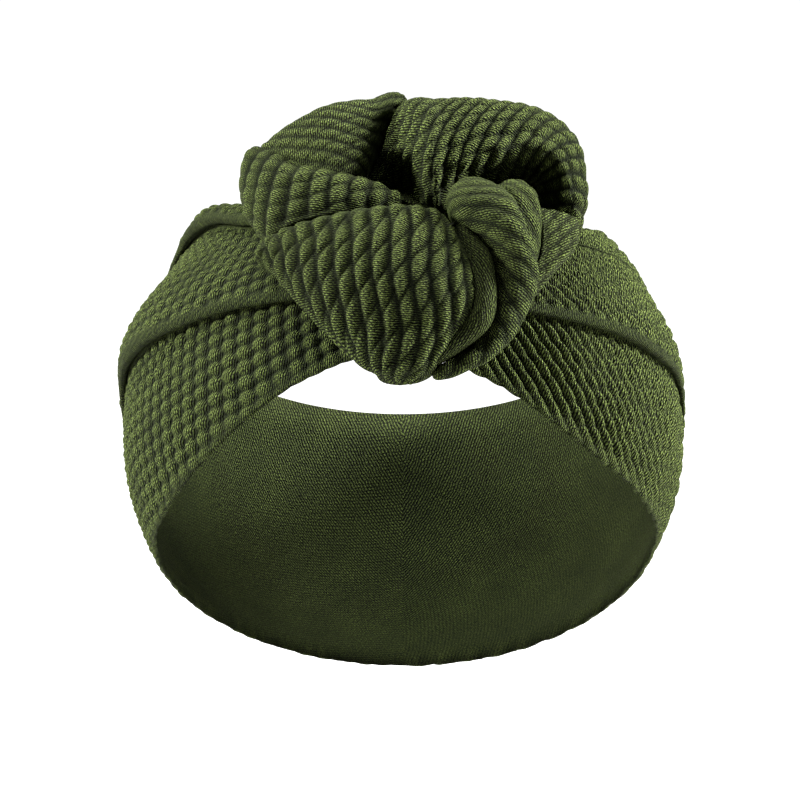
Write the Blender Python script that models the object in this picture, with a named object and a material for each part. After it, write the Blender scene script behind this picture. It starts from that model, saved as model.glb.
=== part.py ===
"""A child's headband of textured knit: a wide pleated band with a flower of wound folds on its front.

Metres. +Z is up, the wearer faces -Y, and the origin is the middle of the head that the band goes round.
"""

import math
from collections import namedtuple

import bmesh
import bpy
from mathutils import Matrix, Vector

# The round of the head that the band is stretched over
HEAD_BREADTH = 0.127
HEAD_LENGTH = 0.148
HEAD_HEIGHT = 0.128

# The band: its ring leans, with the front up
BAND_TILT = math.radians(39)
BAND_WIDTH = 0.078
CLOTH_THICKNESS = 0.0018
PLEAT_HEIGHT = 0.0034

# The flower
FLOWER_WIDTH = 0.074
FLOWER_FACING = math.radians(8)
FLOWER_LEAN = math.radians(30)
FLOWER_AZIMUTH = 2.0
FLOWER_RISE = 0.09

# Every piece keeps this far from the next one
CLEARANCE = 0.0003

# How finely the pieces are divided
BAND_STATIONS_AROUND = 60
PETAL_SIDES = 20
PETAL_RINGS = 20
HEAD_SIDES = 48
HEAD_RINGS = 32
MERGE_DISTANCE = 1e-6
SHARP_ANGLE = math.radians(50)

CLOTH_COLOUR = (0.075, 0.105, 0.035, 1.0)
CLOTH_ROUGHNESS = 0.9

FULL_TURN = 360
HUNDREDTH = 0.01

# The band from the wearer's right round the front to the left. Azimuth is in degrees from the front, to +X.
# The places of its two edges and two pleats are shares of BAND_WIDTH above the ring's middle line, and the
# lifts of the pleats are shares of PLEAT_HEIGHT.
Station = namedtuple("Station", "azimuth lower crease hem upper crease_lift hem_lift")
BAND = (
    Station(-150, -0.47, -0.03, 0.36, 0.50, 0.0, 0.1),
    Station(-110, -0.47, -0.03, 0.36, 0.50, 0.0, 0.1),
    Station(-85, -0.47, -0.05, 0.37, 0.51, 0.1, 0.1),
    Station(-68, -0.48, -0.04, 0.38, 0.54, 0.3, 0.0),
    Station(-56, -0.47, -0.03, 0.39, 0.56, 0.8, 0.8),
    Station(-44, -0.44, -0.05, 0.36, 0.48, 1.0, 1.2),
    Station(-32, -0.39, -0.08, 0.24, 0.37, 1.0, 1.0),
    Station(-18, -0.32, -0.11, 0.16, 0.31, 0.9, 0.8),
    Station(0, -0.27, -0.13, 0.12, 0.28, 0.8, 0.6),
    Station(16, -0.33, -0.14, 0.13, 0.28, 0.9, 0.8),
    Station(30, -0.40, -0.12, 0.17, 0.29, 0.9, 0.9),
    Station(43, -0.44, -0.09, 0.23, 0.35, 0.9, 1.3),
    Station(56, -0.45, -0.06, 0.32, 0.48, 0.6, 1.0),
    Station(68, -0.45, -0.04, 0.36, 0.51, 0.2, 0.0),
    Station(85, -0.43, -0.03, 0.37, 0.50, 0.1, 0.1),
    Station(110, -0.45, -0.03, 0.36, 0.50, 0.0, 0.1),
    Station(150, -0.47, -0.03, 0.36, 0.50, 0.0, 0.1),
)

# Across the band there are three stretches: the lower one, the middle one that laps over it in a pleat, and
# the rolled hem that laps over the middle one. These are places across each, as shares of it.
LOWER_SHARES = (0.0, 0.02, 0.35, 0.7, 0.97)
MIDDLE_SHARES = (0.0, 0.12, 0.4, 0.7, 0.97)
HEM_SHARES = (0.0, 0.25, 0.6, 0.9, 1.0)
INSIDE_SHARES = (1.0, 0.75, 0.5, 0.25, 0.0)

# The cloth's height at the band's two edges, as shares of CLOTH_THICKNESS, and how high a pleat's lip stands
LOWER_EDGE_SHARE = 0.55
UPPER_EDGE_SHARE = 0.8
LIP_SHARE = 0.75

# How fast the middle stretch falls off above its lip, and how far round the hem rolls
MIDDLE_FALL = 1.5
HEM_ROLL = math.radians(81)

# A petal is a fold of the knit. Each row is one section of it: the two ends of the section, how far its face
# bulges out between them and how far its back does. Past the first and the last row it closes in a round cap.
# All is in hundredths of FLOWER_WIDTH: across towards +X, up, and out from the flower's leaning middle plane.
Petal = namedtuple("Petal", "start_cap end_cap rows")
Section = namedtuple("Section", "across up out to_across to_up to_out crown under")

# In order: a petal lies over the ones that follow it, and each is cut clear of those before it
PETALS = {
    "petal_centre": Petal(3, 5, (
        Section(9, 10, 20, 19, 15, 15, 7, 12),
        Section(11, 3, 23, 24, 13, 20, 10, 18),
        Section(17, -1, 23, 28, 6, 20, 10, 18),
        Section(21, -5, 21, 31, -2, 18, 9, 16),
        Section(24, -11, 18, 34, -10, 14, 7, 14),
        Section(25, -17, 15, 34, -16, 10, 5, 12),
        Section(24, -23, 12, 32, -22, 7, 4, 10),
        Section(21, -30, 9, 27, -30, 4, 4, 8),
        Section(16, -34, 7, 21, -37, 3, 4, 7),
        Section(8, -38, 5, 11, -42, 2, 3, 5),
    )),
    "petal_front_roll": Petal(2, 4, (
        Section(12, 0, 21, 14, 1, 21, 3, 6),
        Section(13, -4, 20, 18, -3, 19, 4, 8),
        Section(15, -9, 19, 21, -8, 17, 5, 9),
        Section(16, -14, 17, 22, -13, 15, 5, 9),
        Section(16, -18, 15, 23, -19, 13, 5, 9),
        Section(15, -23, 13, 22, -26, 10, 5, 8),
        Section(12, -27, 10, 18, -31, 7, 5, 8),
        Section(7, -31, 8, 11, -36, 5, 4, 7),
        Section(2, -35, 6, 4, -39, 4, 3, 6),
    )),
    "petal_front": Petal(8, 4, (
        Section(-46, -8, 7, 9, 4, 20, 11, 20),
        Section(-42, -11, 6, 14, -5, 20, 14, 20),
        Section(-36, -18, 5, 17, -13, 17, 15, 18),
        Section(-29, -26, 4, 18, -20, 13, 14, 16),
        Section(-22, -33, 3, 16, -27, 9, 12, 13),
        Section(-16, -38, 3, 12, -33, 7, 10, 10),
        Section(-11, -41, 3, 7, -38, 5, 7, 8),
    )),
    "petal_inner": Petal(2, 3, (
        Section(24, 15, 14, 32, 15, 10, 5, 12),
        Section(23, 10, 17, 34, 10, 10, 7, 16),
        Section(24, 3, 17, 35, 4, 9, 7, 16),
        Section(26, -2, 15, 35, -2, 8, 6, 14),
        Section(28, -7, 13, 34, -8, 7, 5, 10),
    )),
    "petal_left": Petal(9, 3, (
        Section(-44, 25, 2, -45, -1, 3, 9, 14),
        Section(-39, 23, 6, -38, -6, 5, 11, 16),
        Section(-32, 19, 9, -27, -5, 7, 11, 16),
        Section(-23, 17, 11, -19, 0, 9, 10, 15),
        Section(-14, 15, 12, -12, 4, 10, 7, 13),
        Section(-7, 12, 10, -6, 7, 9, 4, 10),
    )),
    "petal_top_left": Petal(4, 3, (
        Section(-44, 28, -5, -38, 12, -2, 5, 7),
        Section(-37, 32, -4, -31, 9, 0, 10, 13),
        Section(-27, 36, -5, -23, 7, 2, 14, 16),
        Section(-19, 38, -6, -17, 7, 2, 14, 17),
        Section(-13, 40, -7, -15, 10, 0, 12, 16),
        Section(-8, 43, -8, -13, 19, -3, 10, 12),
        Section(-3, 44, -9, -6, 32, -7, 7, 9),
    )),
    "petal_right": Petal(1, 5, (
        Section(29, 6, 5, 48, 3, 3, 4, 8),
        Section(29, 0, 8, 47, -4, 3, 5, 10),
        Section(29, -7, 8, 41, -11, 3, 5, 10),
        Section(28, -14, 7, 36, -17, 3, 4, 8),
    )),
    "petal_top_right": Petal(4, 4, (
        Section(-14, 34, -15, -12, 12, -13, 5, 7),
        Section(-6, 38, -12, -5, 9, -8, 9, 11),
        Section(4, 37, -8, 2, 8, 2, 14, 16),
        Section(11, 36, -7, 7, 9, 8, 16, 18),
        Section(19, 35, -6, 14, 15, 10, 15, 18),
        Section(27, 34, -6, 22, 19, 10, 13, 16),
        Section(35, 34, -6, 30, 21, 8, 11, 14),
        Section(42, 32, -6, 35, 20, 7, 9, 12),
        Section(47, 26, -5, 38, 17, 6, 8, 11),
        Section(49, 18, -5, 39, 13, 4, 7, 10),
        Section(50, 10, -5, 40, 8, 2, 6, 9),
        Section(49, 2, -5, 39, 2, -1, 4, 7),
    )),
}

# A petal's section is a rounded oblong. The caps take this share of its length at each end, and the way that
# it runs is found over a short step.
SQUARENESS = 2.3
CAP_SHARE = 0.15
RUN_STEP = 0.02


def clear_scene():
    for item in list(bpy.data.objects):
        bpy.data.objects.remove(item, do_unlink=True)


def new_collection(name):
    collection = bpy.data.collections.new(name)
    bpy.context.scene.collection.children.link(collection)
    return collection


def cloth_material(name):
    """Dark green knit, without any shine."""
    material = bpy.data.materials.new(name)
    material.use_nodes = True
    shader = material.node_tree.nodes["Principled BSDF"]
    shader.inputs["Base Color"].default_value = CLOTH_COLOUR
    shader.inputs["Roughness"].default_value = CLOTH_ROUGHNESS
    shader.inputs["Metallic"].default_value = 0.0
    material.diffuse_color = CLOTH_COLOUR
    return material


def slope(rows, keys, i):
    """How fast each column changes at one of the rows."""
    low = max(i - 1, 0)
    high = min(i + 1, len(keys) - 1)
    return [(b - a) / (keys[high] - keys[low]) for a, b in zip(rows[low], rows[high])]


def between_rows(rows, keys, at):
    """The row at a place between the keys, on a smooth curve through all the rows."""
    k = 0
    while k < len(keys) - 2 and at > keys[k + 1]:
        k += 1
    step = keys[k + 1] - keys[k]
    t = (at - keys[k]) / step
    to_next = 3 * t**2 - 2 * t**3
    leaving = (t**3 - 2 * t**2 + t) * step
    arriving = (t**3 - t**2) * step
    terms = (
        (1 - to_next, rows[k]),
        (leaving, slope(rows, keys, k)),
        (to_next, rows[k + 1]),
        (arriving, slope(rows, keys, k + 1)),
    )
    return [sum(weight * column[i] for weight, column in terms) for i in range(len(rows[0]))]


def band_station(azimuth):
    """The band's station at any azimuth, in degrees from the back round to the back."""
    rows = [row._replace(azimuth=row.azimuth - FULL_TURN) for row in BAND[-2:]]
    rows += list(BAND)
    rows += [row._replace(azimuth=row.azimuth + FULL_TURN) for row in BAND[:2]]
    return Station(*between_rows(rows, [row.azimuth for row in rows], azimuth))


def on_head(azimuth, rise, height):
    """A point this high over the head, at an azimuth in degrees and a rise in metres above the ring."""
    mean_radius = (HEAD_BREADTH + HEAD_LENGTH + HEAD_HEIGHT) / 3 / 2
    turn = math.radians(azimuth)
    latitude = rise / mean_radius
    level = math.cos(latitude)
    out = Vector((math.sin(turn) * level, -math.cos(turn) * level, math.sin(latitude)))
    out = Matrix.Rotation(-BAND_TILT, 3, "X") @ out
    half = Vector((HEAD_BREADTH / 2, HEAD_LENGTH / 2, HEAD_HEIGHT / 2))
    point = out / Vector((out.x / half.x, out.y / half.y, out.z / half.z)).length
    normal = Vector((point.x / half.x**2, point.y / half.y**2, point.z / half.z**2)).normalized()
    return point + normal * height


def band_outside(station):
    """The rise and height of the points across the band's outer face, from its lower edge up."""
    points = []
    for share in LOWER_SHARES:
        rise = station.lower + (station.crease - station.lower) * share
        edge = LOWER_EDGE_SHARE if share == 0 else 1
        points.append((rise, CLOTH_THICKNESS * edge))
    for share in MIDDLE_SHARES:
        rise = station.crease + (station.hem - station.crease) * share
        lip = LIP_SHARE if share == 0 else 1
        lift = station.crease_lift * PLEAT_HEIGHT * (1 - share) ** MIDDLE_FALL
        points.append((rise, CLOTH_THICKNESS + lift * lip))
    for share in HEM_SHARES:
        rise = station.hem + (station.upper - station.hem) * share
        edge = UPPER_EDGE_SHARE if share == 1 else 1
        lift = station.hem_lift * PLEAT_HEIGHT * math.cos(HEM_ROLL * share)
        points.append((rise, CLOTH_THICKNESS * edge + lift))
    return [(rise * BAND_WIDTH, height) for rise, height in points]


def band_mesh(name, inside_height):
    """The band as a ring-shaped solid, from a torus whose sections are laid on the head."""
    across = len(LOWER_SHARES) + len(MIDDLE_SHARES) + len(HEM_SHARES) + len(INSIDE_SHARES)
    bpy.ops.mesh.primitive_torus_add(major_segments=BAND_STATIONS_AROUND, minor_segments=across)
    ring = bpy.context.object
    mesh = ring.data
    mesh.name = name
    for i in range(BAND_STATIONS_AROUND):
        azimuth = FULL_TURN * (i / BAND_STATIONS_AROUND - 1 / 2)
        station = band_station(azimuth)
        section = band_outside(station)
        for share in INSIDE_SHARES:
            rise = (station.lower + (station.upper - station.lower) * share) * BAND_WIDTH
            section.append((rise, inside_height))
        for j, (rise, height) in enumerate(section):
            mesh.vertices[i * across + j].co = on_head(azimuth, rise, height)
    shape = bmesh.new()
    shape.from_mesh(mesh)
    face_outwards(shape)
    shape.to_mesh(mesh)
    shape.free()
    bpy.data.objects.remove(ring)
    return mesh


def face_outwards(shape):
    shape.normal_update()
    bmesh.ops.recalc_face_normals(shape, faces=shape.faces)


def flower_point(across, up, out):
    """A point of the flower, from shares of FLOWER_WIDTH."""
    anchor = on_head(FLOWER_AZIMUTH, FLOWER_RISE * BAND_WIDTH, CLOTH_THICKNESS)
    upward = Vector((0, math.sin(FLOWER_FACING), math.cos(FLOWER_FACING)))
    forward = Vector((0, -math.cos(FLOWER_FACING), math.sin(FLOWER_FACING)))
    leaning_out = out - math.tan(FLOWER_LEAN) * up
    return anchor + (Vector((across, 0, 0)) + upward * up + forward * leaning_out) * FLOWER_WIDTH


def flower_section(rows, at):
    """The two ends of a petal's section, and how far it bulges to the front and to the back."""
    keys = [i / (len(rows) - 1) for i in range(len(rows))]
    row = Section(*(n * HUNDREDTH for n in between_rows(rows, keys, at)))
    start = flower_point(row.across, row.up, row.out)
    end = flower_point(row.to_across, row.to_up, row.to_out)
    return start, end, row.crown * FLOWER_WIDTH, row.under * FLOWER_WIDTH


def rounded(part):
    """A cosine or sine pulled out towards the corners of an oblong."""
    return math.copysign(abs(part) ** (2 / SQUARENESS), part)


def petal_point(petal, along, turn):
    """A point of a petal's skin, along it from 0 to 1 and round its section by an angle."""
    at = min(max((along - CAP_SHARE) / (1 - 2 * CAP_SHARE), 0), 1)
    start, end, crown, under = flower_section(petal.rows, at)
    before = flower_section(petal.rows, max(at - RUN_STEP, 0))
    after = flower_section(petal.rows, min(at + RUN_STEP, 1))
    run = (after[0] + after[1] - before[0] - before[1]).normalized()
    chord = end - start
    bulge = chord.cross(run).normalized()
    if bulge.dot(flower_point(0, 0, 1) - flower_point(0, 0, 0)) < 0:
        bulge.negate()
    shrink = 1.0
    beyond = 0.0
    if along < CAP_SHARE:
        angle = math.pi / 2 * along / CAP_SHARE
        shrink = math.sin(angle)
        beyond = -math.cos(angle) * petal.start_cap
    elif along > 1 - CAP_SHARE:
        angle = math.pi / 2 * (1 - along) / CAP_SHARE
        shrink = math.sin(angle)
        beyond = math.cos(angle) * petal.end_cap
    side = rounded(math.cos(turn)) * shrink
    face = rounded(math.sin(turn)) * shrink
    depth = crown if face > 0 else under
    middle = (start + end) / 2 + run * beyond * HUNDREDTH * FLOWER_WIDTH
    return middle - chord / 2 * side + bulge * depth * face


def petal_mesh(name, petal):
    """A petal, from a ball whose rings are laid along the petal's sections."""
    shape = bmesh.new()
    bmesh.ops.create_uvsphere(shape, u_segments=PETAL_SIDES, v_segments=PETAL_RINGS, radius=1)
    for corner in shape.verts:
        along = math.acos(max(-1.0, min(1.0, corner.co.z))) / math.pi
        turn = math.atan2(corner.co.y, corner.co.x)
        corner.co = petal_point(petal, along, turn)
    face_outwards(shape)
    mesh = bpy.data.meshes.new(name)
    shape.to_mesh(mesh)
    shape.free()
    return mesh


def grown(mesh, name, by):
    """A copy of a closed mesh whose skin stands this much further out."""
    shape = bmesh.new()
    shape.from_mesh(mesh)
    shape.normal_update()
    moves = [(corner, corner.normal * by) for corner in shape.verts]
    for corner, move in moves:
        corner.co += move
    copy = bpy.data.meshes.new(name)
    shape.to_mesh(copy)
    shape.free()
    return copy


def head_mesh(name):
    """The round of the head."""
    shape = bmesh.new()
    bmesh.ops.create_uvsphere(shape, u_segments=HEAD_SIDES, v_segments=HEAD_RINGS, radius=1)
    bmesh.ops.scale(shape, vec=Vector((HEAD_BREADTH, HEAD_LENGTH, HEAD_HEIGHT)) / 2, verts=shape.verts)
    mesh = bpy.data.meshes.new(name)
    shape.to_mesh(mesh)
    shape.free()
    return mesh


def add_cutter(mesh, collection):
    cutter = bpy.data.objects.new(mesh.name, mesh)
    cutter.hide_render = True
    cutter.display_type = "WIRE"
    collection.objects.link(cutter)
    return cutter


def keep_largest(shape):
    """Deletes the crumbs that a cut leaves beside the main body."""
    left = set(shape.verts)
    bodies = []
    while left:
        body = set()
        edge = [left.pop()]
        while edge:
            corner = edge.pop()
            body.add(corner)
            for link in corner.link_edges:
                other = link.other_vert(corner)
                if other in left:
                    left.discard(other)
                    edge.append(other)
        bodies.append(body)
    largest = max(bodies, key=len)
    crumbs = [corner for body in bodies if body is not largest for corner in body]
    bmesh.ops.delete(shape, geom=crumbs, context="VERTS")


def cut(piece, cutters):
    """Takes all the cutters out of the piece and keeps its main body."""
    difference = piece.modifiers.new("clear_of_the_others", "BOOLEAN")
    difference.operation = "DIFFERENCE"
    difference.solver = "EXACT"
    difference.operand_type = "COLLECTION"
    difference.collection = cutters
    graph = bpy.context.evaluated_depsgraph_get()
    solid = bpy.data.meshes.new_from_object(piece.evaluated_get(graph))
    solid.name = piece.name
    piece.modifiers.clear()
    shape = bmesh.new()
    shape.from_mesh(solid)
    bmesh.ops.triangulate(shape, faces=shape.faces)
    bmesh.ops.remove_doubles(shape, verts=shape.verts, dist=MERGE_DISTANCE)
    keep_largest(shape)
    shape.to_mesh(solid)
    shape.free()
    piece.data = solid


def dress(piece):
    """Gives a finished piece its own cloth and smooth shading."""
    piece.data.materials.clear()
    piece.data.materials.append(cloth_material(piece.name + "_cloth"))
    piece.data.shade_smooth()
    piece.data.set_sharp_from_angle(angle=SHARP_ANGLE)


def main():
    clear_scene()
    parts = new_collection("flower_headband")
    cutters = new_collection("cutters")

    band = bpy.data.objects.new("band", band_mesh("band", 0))
    parts.objects.link(band)
    dress(band)

    solid_band = band_mesh("solid_band", -HEAD_BREADTH / 2 / 2)
    add_cutter(grown(head_mesh("head"), "head_room", CLEARANCE), cutters)
    add_cutter(grown(solid_band, "band_room", CLEARANCE), cutters)
    for name, petal in PETALS.items():
        piece = bpy.data.objects.new(name, petal_mesh(name, petal))
        parts.objects.link(piece)
        room = grown(piece.data, name + "_room", CLEARANCE)
        cut(piece, cutters)
        add_cutter(room, cutters)
        dress(piece)


main()
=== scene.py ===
"""A child's headband in dark green textured knit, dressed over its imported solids.

The band and the wound folds of the flower are cloth, so each stands in for its own solid.
"""

import math
from collections import namedtuple

import bmesh
import bpy
import numpy as np
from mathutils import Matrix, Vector
from mathutils.bvhtree import BVHTree
from mathutils.interpolate import poly_3d_calc


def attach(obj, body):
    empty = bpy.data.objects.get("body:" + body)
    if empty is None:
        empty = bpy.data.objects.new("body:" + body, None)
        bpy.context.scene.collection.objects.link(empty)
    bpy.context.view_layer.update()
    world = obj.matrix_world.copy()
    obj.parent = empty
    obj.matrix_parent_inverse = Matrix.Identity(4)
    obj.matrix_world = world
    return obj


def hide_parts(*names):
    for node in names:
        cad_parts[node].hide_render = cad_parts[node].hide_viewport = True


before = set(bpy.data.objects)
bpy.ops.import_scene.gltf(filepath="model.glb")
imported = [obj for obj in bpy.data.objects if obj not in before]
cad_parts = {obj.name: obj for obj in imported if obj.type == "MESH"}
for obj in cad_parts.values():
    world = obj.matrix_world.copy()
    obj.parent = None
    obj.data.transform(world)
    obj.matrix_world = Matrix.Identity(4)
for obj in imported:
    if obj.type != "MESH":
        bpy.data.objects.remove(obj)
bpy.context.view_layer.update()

MILLIMETRE = 0.001
HUNDREDTH = 0.01

# The round that the band sits on, the band and the flower, in metres
HEAD_BREADTH = 0.127
HEAD_LENGTH = 0.148
HEAD_HEIGHT = 0.128
BAND_TILT = math.radians(39)
BAND_WIDTH = 0.078
CLOTH_THICKNESS = 0.0018
PLEAT_HEIGHT = 0.0034
FLOWER_WIDTH = 0.074
FLOWER_FACING = math.radians(8)
FLOWER_LEAN = math.radians(30)
FLOWER_AZIMUTH = 2.0
FLOWER_RISE = 0.09
MEAN_RADIUS = (HEAD_BREADTH + HEAD_LENGTH + HEAD_HEIGHT) / 6

# The band from left to right past the front, in degrees and in shares of its width. The lifts of its two laps are
# shares of a pleat's height, and differ a little from its solid's.
Station = namedtuple("Station", "azimuth lower crease hem upper crease_lift hem_lift")
BAND = (
    Station(-150, -0.47, -0.03, 0.36, 0.50, 0.0, 0.1),
    Station(-110, -0.47, -0.03, 0.36, 0.50, 0.0, 0.1),
    Station(-85, -0.47, 0.08, 0.43, 0.51, 0.6, 0.1),
    Station(-68, -0.48, 0.03, 0.45, 0.54, 1.1, 0.5),
    Station(-56, -0.47, -0.01, 0.43, 0.56, 1.2, 1.1),
    Station(-44, -0.44, -0.05, 0.36, 0.48, 1.0, 1.2),
    Station(-32, -0.39, -0.08, 0.24, 0.37, 1.0, 1.0),
    Station(-18, -0.32, -0.11, 0.16, 0.31, 0.9, 0.8),
    Station(0, -0.27, -0.13, 0.12, 0.28, 0.8, 0.6),
    Station(16, -0.33, -0.14, 0.13, 0.28, 0.9, 0.8),
    Station(30, -0.40, -0.12, 0.17, 0.29, 0.9, 0.3),
    Station(43, -0.44, -0.09, 0.23, 0.35, 1.0, 0.1),
    Station(56, -0.45, -0.06, 0.32, 0.48, 0.9, 0.0),
    Station(68, -0.45, -0.02, 0.36, 0.51, 0.6, 0.0),
    Station(85, -0.43, -0.03, 0.37, 0.50, 0.1, 0.1),
    Station(110, -0.45, -0.03, 0.36, 0.50, 0.0, 0.1),
    Station(150, -0.47, -0.03, 0.36, 0.50, 0.0, 0.1),
)

# The flower's folds, as their solids have them: sections in hundredths of the flower's width
Petal = namedtuple("Petal", "start_cap end_cap rows")
Section = namedtuple("Section", "across up out to_across to_up to_out crown under")
PETALS = {
    "petal_centre": Petal(3, 5, (
        Section(9, 10, 20, 19, 15, 15, 7, 12),
        Section(11, 3, 23, 24, 13, 20, 10, 18),
        Section(17, -1, 23, 28, 6, 20, 10, 18),
        Section(21, -5, 21, 31, -2, 18, 9, 16),
        Section(24, -11, 18, 34, -10, 14, 7, 14),
        Section(25, -17, 15, 34, -16, 10, 5, 12),
        Section(24, -23, 12, 32, -22, 7, 4, 10),
        Section(21, -30, 9, 27, -30, 4, 4, 8),
        Section(16, -34, 7, 21, -37, 3, 4, 7),
        Section(8, -38, 5, 11, -42, 2, 3, 5),
    )),
    "petal_front_roll": Petal(2, 4, (
        Section(12, 0, 21, 14, 1, 21, 3, 6),
        Section(13, -4, 20, 18, -3, 19, 4, 8),
        Section(15, -9, 19, 21, -8, 17, 5, 9),
        Section(16, -14, 17, 22, -13, 15, 5, 9),
        Section(16, -18, 15, 23, -19, 13, 5, 9),
        Section(15, -23, 13, 22, -26, 10, 5, 8),
        Section(12, -27, 10, 18, -31, 7, 5, 8),
        Section(7, -31, 8, 11, -36, 5, 4, 7),
        Section(2, -35, 6, 4, -39, 4, 3, 6),
    )),
    "petal_front": Petal(8, 4, (
        Section(-46, -8, 7, 9, 4, 20, 11, 20),
        Section(-42, -11, 6, 14, -5, 20, 14, 20),
        Section(-36, -18, 5, 17, -13, 17, 15, 18),
        Section(-29, -26, 4, 18, -20, 13, 14, 16),
        Section(-22, -33, 3, 16, -27, 9, 12, 13),
        Section(-16, -38, 3, 12, -33, 7, 10, 10),
        Section(-11, -41, 3, 7, -38, 5, 7, 8),
    )),
    "petal_inner": Petal(2, 3, (
        Section(24, 15, 14, 32, 15, 10, 5, 12),
        Section(23, 10, 17, 34, 10, 10, 7, 16),
        Section(24, 3, 17, 35, 4, 9, 7, 16),
        Section(26, -2, 15, 35, -2, 8, 6, 14),
        Section(28, -7, 13, 34, -8, 7, 5, 10),
    )),
    "petal_left": Petal(9, 3, (
        Section(-44, 25, 2, -45, -1, 3, 9, 14),
        Section(-39, 23, 6, -38, -6, 5, 11, 16),
        Section(-32, 19, 9, -27, -5, 7, 11, 16),
        Section(-23, 17, 11, -19, 0, 9, 10, 15),
        Section(-14, 15, 12, -12, 4, 10, 7, 13),
        Section(-7, 12, 10, -6, 7, 9, 4, 10),
    )),
    "petal_top_left": Petal(4, 3, (
        Section(-44, 28, -5, -38, 12, -2, 5, 7),
        Section(-37, 32, -4, -31, 9, 0, 10, 13),
        Section(-27, 36, -5, -23, 7, 2, 14, 16),
        Section(-19, 38, -6, -17, 7, 2, 14, 17),
        Section(-13, 40, -7, -15, 10, 0, 12, 16),
        Section(-8, 43, -8, -13, 19, -3, 10, 12),
        Section(-3, 44, -9, -6, 32, -7, 7, 9),
    )),
    "petal_right": Petal(1, 5, (
        Section(29, 6, 5, 48, 3, 3, 4, 8),
        Section(29, 0, 8, 47, -4, 3, 5, 10),
        Section(29, -7, 8, 41, -11, 3, 5, 10),
        Section(28, -14, 7, 36, -17, 3, 4, 8),
    )),
    "petal_top_right": Petal(4, 4, (
        Section(-14, 34, -15, -12, 12, -13, 5, 7),
        Section(-6, 38, -12, -5, 9, -8, 9, 11),
        Section(4, 37, -8, 2, 8, 2, 14, 16),
        Section(11, 36, -7, 7, 9, 8, 16, 18),
        Section(19, 35, -6, 14, 15, 10, 15, 18),
        Section(27, 34, -6, 22, 19, 10, 13, 16),
        Section(35, 34, -6, 30, 21, 8, 11, 14),
        Section(42, 32, -6, 35, 20, 7, 9, 12),
        Section(47, 26, -5, 38, 17, 6, 8, 11),
        Section(49, 18, -5, 39, 13, 4, 7, 10),
        Section(50, 10, -5, 40, 8, 2, 6, 9),
        Section(49, 2, -5, 39, 2, -1, 4, 7),
    )),
}
# Small dents, creases and swellings of the folds that their solids don't have. Each runs between two places on the
# flower's face, in hundredths of its width, and moves the cloth within its reach to the right, up and outwards,
# in millimetres.
Dent = namedtuple("Dent", "across up to_across to_up reach right rise out")
DENTS = {
    "petal_centre": (Dent(8, 18, 24, 20, 13, 0, -2.4, 0),),
    "petal_front_roll": (Dent(8, -32, 3, -37, 6, -0.8, -1.6, 0),),
    "petal_inner": (Dent(26, 20, 34, 19, 10, 0, -2.2, 0),),
    "petal_left": (
        Dent(-39, 24, -36, 21, 5.5, 0, 0, -2.2),
        Dent(-36, 21, -20, 17, 3, 0, 0, -0.8),
    ),
    "petal_top_left": (
        Dent(-8, 34, -13, 16, 5, -0.4, 0, -2.5),
    ),
    "petal_top_right": (
        Dent(-6, 8, -6, 17, 9, 0, 0, -8.0),
        Dent(-1, 13, -2, 18, 6, 0, 0, -4.0),
        Dent(0, 36, 0, 36, 9, 0, 2.2, 0),
        Dent(5, 34, 5, 18, 6, 0, 0, 1.4),
        Dent(11, 10, 17, 14, 4, 0, 0, -3.5),
        Dent(17, 15, 34, 20, 4.5, 0, 0, -5.0),
        Dent(13, 20, 25, 25, 5, 0, 0, 1.2),
        Dent(25, 25, 38, 26, 5, 0, 0, 1.4),
        Dent(38, 17, 41, 6, 6.5, 0, 0, -5.5),
    ),
}
# Corners of the folds that are rounder than in their solids: a middle, a radius, and the way the corner points
Corner = namedtuple("Corner", "across up radius heading")
CORNERS = {
    "petal_top_left": (Corner(-6.5, 38.8, 5.4, 55),),
}
SQUARENESS = 2.3
CAP_SHARE = 0.15
RUN_STEP = 0.02

# The knit has round bumps in staggered rows, or ribs of bumps one behind the other, and fine lines of stitches.
# One cell of staggered rows is given by its two sides, each as millimetres to the right and up on the face that is
# seen from the front. A bump leans by an angle and has half a length and half a width in millimetres. Ribs run at
# an angle, some millimetres apart, with bumps of a length; the seam between two bumps slips along the rib by a
# share of a bump from one side to the other, and is sunk by a share of the depth.
Knit = namedtuple("Knit", "side_right side_up rise_right rise_up lean half_length half_width depth stitch_lean")
Ribs = namedtuple("Ribs", "angle spacing length stagger slip sink skew depth stitch_lean")
BAND_KNITS = {
    "left_lower": Knit(5.0, -0.9, 3.0, 5.8, 30, 2.7, 2.1, 1.5, 88),
    "left_middle": Knit(5.0, -0.9, 2.4, 5.2, 30, 2.6, 1.9, 1.3, 88),
    "right_lower": Ribs(113, 2.7, 5.6, 0.4, 0.2, 0.3, -0.3, 2.3, 78),
    "right_middle": Ribs(123, 2.7, 4.8, 0.4, 0.2, 0.35, -0.3, 2.2, 80),
}
PETAL_KNITS = {
    "petal_centre": Ribs(135, 3.9, 6.3, 0.5, 0.4, 0.5, 0.2, 0.7, 150),
    "petal_front_roll": Ribs(105, 1.3, 9.0, 0.5, 0.1, 0.2, 0.0, 0.2, 105),
    "petal_front": Ribs(77, 3.9, 7.4, 0.5, -1.0, 0.65, 0.5, 1.5, -8),
    "petal_inner": Ribs(120, 3.9, 6.3, 0.5, 0.4, 0.5, 0.2, 0.6, 130),
    "petal_left": Ribs(84, 4.4, 4.8, 0.3, -0.6, 0.6, 0.5, 1.3, 0),
    "petal_top_left": Ribs(152, 3.2, 4.7, 0.5, 0.6, 0.6, 0.3, 0.8, 84),
    "petal_right": Ribs(40, 2.6, 4.6, 0.5, 0.3, 0.5, 0.3, 0.8, 30),
    "petal_top_right": Ribs(49, 3.4, 4.6, 0.5, -0.7, 0.65, 0.4, 1.3, 140),
}

# How much of a bump's depth stands out over the solid's skin
CREST_SHARE = 0.3

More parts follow.
